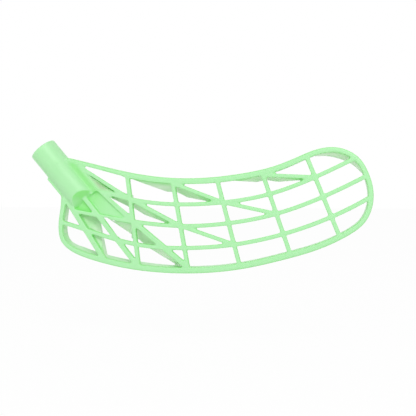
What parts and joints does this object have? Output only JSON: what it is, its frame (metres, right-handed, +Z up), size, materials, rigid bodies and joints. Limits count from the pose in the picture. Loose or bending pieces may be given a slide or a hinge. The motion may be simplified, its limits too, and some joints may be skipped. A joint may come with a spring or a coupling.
{
  "type": "floorball blade",
  "caption": "Curved floorball blade moulded in translucent mint plastic: an open lattice of ribs and slanted webs inside a rounded rim, with a tubular neck that plugs into a stick's shaft.",
  "frame": {"origin": "on the neck's axis, level with the shoulder where the shaft's end stops", "axes": "+X from heel to toe, +Y away from the forehand face's viewer, +Z up from sole to top rim"},
  "size_m": [0.2726, 0.0323, 0.1069],
  "materials": {
    "mint_plastic": "translucent mint-green moulded plastic with a satin surface"
  },
  "bodies": {
    "root": {"cheek_brace_lower": "mint_plastic", "cheek_brace_upper": "mint_plastic", "cross_rib_1": "mint_plastic", "cross_rib_2": "mint_plastic", "cross_rib_3": "mint_plastic", "cross_rib_4": "mint_plastic", "cross_rib_5": "mint_plastic", "heel_brace": "mint_plastic", "heel_brace_web": "mint_plastic", "heel_cheek": "mint_plastic", "heel_rim": "mint_plastic", "heel_rim_corner": "mint_plastic", "hosel_barrel": "mint_plastic", "hosel_spigot": "mint_plastic", "light_brace_1": "mint_plastic", "light_brace_2": "mint_plastic", "light_brace_3": "mint_plastic", "light_brace_4": "mint_plastic", "light_brace_5": "mint_plastic", "lower_rib_bay_1": "mint_plastic", "lower_rib_bay_2": "mint_plastic", "lower_rib_bay_3": "mint_plastic", "lower_rib_bay_4": "mint_plastic", "lower_rib_bay_5": "mint_plastic", "lower_rib_bay_6": "mint_plastic", "lower_web": "mint_plastic", "middle_rib_bay_1": "mint_plastic", "middle_rib_bay_2": "mint_plastic", "middle_rib_bay_3": "mint_plastic", "middle_rib_bay_4": "mint_plastic", "middle_rib_bay_5": "mint_plastic", "middle_rib_bay_6": "mint_plastic", "middle_web": "mint_plastic", "pocket_brace": "mint_plastic", "pocket_floor": "mint_plastic", "sole_rim_heel": "mint_plastic", "sole_rim_middle": "mint_plastic", "sole_rim_toe": "mint_plastic", "throat_brace": "mint_plastic", "throat_brace_web": "mint_plastic", "throat_cheek": "mint_plastic", "throat_web": "mint_plastic", "toe_rim_lower": "mint_plastic", "toe_rim_upper": "mint_plastic", "toe_side_web": "mint_plastic", "toe_web": "mint_plastic", "top_rim_heel": "mint_plastic", "top_rim_middle": "mint_plastic", "top_rim_toe": "mint_plastic", "upper_rib_bay_1": "mint_plastic", "upper_rib_bay_2": "mint_plastic", "upper_rib_bay_3": "mint_plastic", "upper_rib_bay_4": "mint_plastic", "upper_rib_bay_5": "mint_plastic", "upper_rib_bay_6": "mint_plastic", "upper_web": "mint_plastic"}
  },
  "joints": []
}
